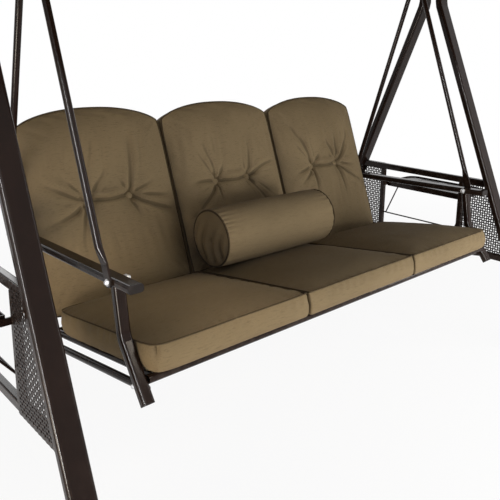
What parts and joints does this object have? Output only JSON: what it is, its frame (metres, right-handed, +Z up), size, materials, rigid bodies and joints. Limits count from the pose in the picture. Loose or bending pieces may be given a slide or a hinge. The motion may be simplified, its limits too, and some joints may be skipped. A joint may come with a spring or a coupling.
{
  "type": "canopy swing bench",
  "caption": "Garden swing bench with box seat cushions, tufted back cushions and a bolster, hung from a tubular A-frame stand with tilting canopy and folding side tables.",
  "frame": {"origin": "on the ground under the middle of the stand", "axes": "+X along the bench to the sitter's left, +Z up; the sitter faces -Y"},
  "size_m": [2.296, 1.2148, 1.6298],
  "materials": {
    "frame_paint": "dark brown powder coat, satin gloss",
    "woven_steel": "dark brown powder coat on woven strip",
    "black_plastic": "moulded, matte",
    "zinc_steel": "zinc plated",
    "cushion_fabric": "woven polyester, slight sheen",
    "canopy_fabric": "woven polyester, slight sheen"
  },
  "bodies": {
    "stand": {"leg_left_front": "frame_paint", "leg_left_rear": "frame_paint", "leg_right_front": "frame_paint", "leg_right_rear": "frame_paint", "leg_feet": "black_plastic", "leg_caps": "black_plastic", "top_beam": "frame_paint", "upper_crossbars": "frame_paint", "lower_crossbars": "frame_paint", "left_posts": "frame_paint", "right_posts": "frame_paint", "net_left_front": "woven_steel", "net_left_rear": "woven_steel", "net_right_front": "woven_steel", "net_right_rear": "woven_steel", "hanger_brackets": "frame_paint", "hanger_pins": "zinc_steel", "canopy_brackets": "frame_paint", "canopy_pins": "zinc_steel", "frame_bolts": "zinc_steel", "table_lugs": "frame_paint"},
    "swing": {"hanger_left_front": "frame_paint", "hanger_left_rear": "frame_paint", "hanger_right_front": "frame_paint", "hanger_right_rear": "frame_paint", "left_armrest": "frame_paint", "right_armrest": "frame_paint", "tube_plugs": "black_plastic", "left_front_post": "frame_paint", "right_front_post": "frame_paint", "left_side_rail": "frame_paint", "right_side_rail": "frame_paint", "seat_front_rail": "frame_paint", "seat_rear_rail": "frame_paint", "seat_side_tubes": "frame_paint", "seat_slats": "frame_paint", "back_slats": "frame_paint", "left_upright": "frame_paint", "right_upright": "frame_paint", "back_top_rail": "frame_paint", "back_low_rail": "frame_paint", "seat_bolts": "zinc_steel", "seat_cushion_left": "cushion_fabric", "seat_cushion_center": "cushion_fabric", "seat_cushion_right": "cushion_fabric", "back_cushion_left": "cushion_fabric", "back_cushion_center": "cushion_fabric", "back_cushion_right": "cushion_fabric", "tuft_buttons": "cushion_fabric", "bolster": "cushion_fabric"},
    "canopy": {"canopy_cloth": "canopy_fabric", "canopy_side_arches": "frame_paint", "canopy_mid_arch": "frame_paint", "canopy_edge_bars": "frame_paint"},
    "left_knob": {"left_knob": "black_plastic"},
    "right_knob": {"right_knob": "black_plastic"},
    "left_table": {"left_table": "frame_paint"},
    "right_table": {"right_table": "frame_paint"},
    "left_stay": {"left_stay": "frame_paint"},
    "right_stay": {"right_stay": "frame_paint"}
  },
  "joints": [
    {"name": "bench_swing", "type": "hinge", "parent": "stand", "child": "swing", "pos_m": [0, -0.018, 1.462], "axis": [1, 0, 0], "range_deg": [-18, 18]},
    {"name": "canopy_tilt", "type": "hinge", "parent": "stand", "child": "canopy", "pos_m": [0, 0, 1.576], "axis": [1, 0, 0], "range_deg": [-18, 18]},
    {"name": "left_knob_turn", "type": "hinge", "parent": "stand", "child": "left_knob", "pos_m": [-0.9, 0, 1.576], "axis": [1, 0, 0], "continuous": true},
    {"name": "right_knob_turn", "type": "hinge", "parent": "stand", "child": "right_knob", "pos_m": [0.9, 0, 1.576], "axis": [1, 0, 0], "continuous": true},
    {"name": "left_table_fold", "type": "hinge", "parent": "stand", "child": "left_table", "pos_m": [-0.962, 0, 0.546], "axis": [0, -1, 0], "range_deg": [0, 88]},
    {"name": "right_table_fold", "type": "hinge", "parent": "stand", "child": "right_table", "pos_m": [0.962, 0, 0.546], "axis": [0, 1, 0], "range_deg": [0, 88]},
    {"name": "left_stay_fold", "type": "hinge", "parent": "stand", "child": "left_stay", "pos_m": [-0.934, 0, 0.41], "axis": [0, -1, 0], "range_deg": [0, 132]},
    {"name": "right_stay_fold", "type": "hinge", "parent": "stand", "child": "right_stay", "pos_m": [0.934, 0, 0.41], "axis": [0, 1, 0], "range_deg": [0, 132]}
  ],
  "couplings": [
    {"joint": "left_stay_fold", "follows": "left_table_fold", "ratio": 1.5},
    {"joint": "right_stay_fold", "follows": "right_table_fold", "ratio": 1.5}
  ]
}
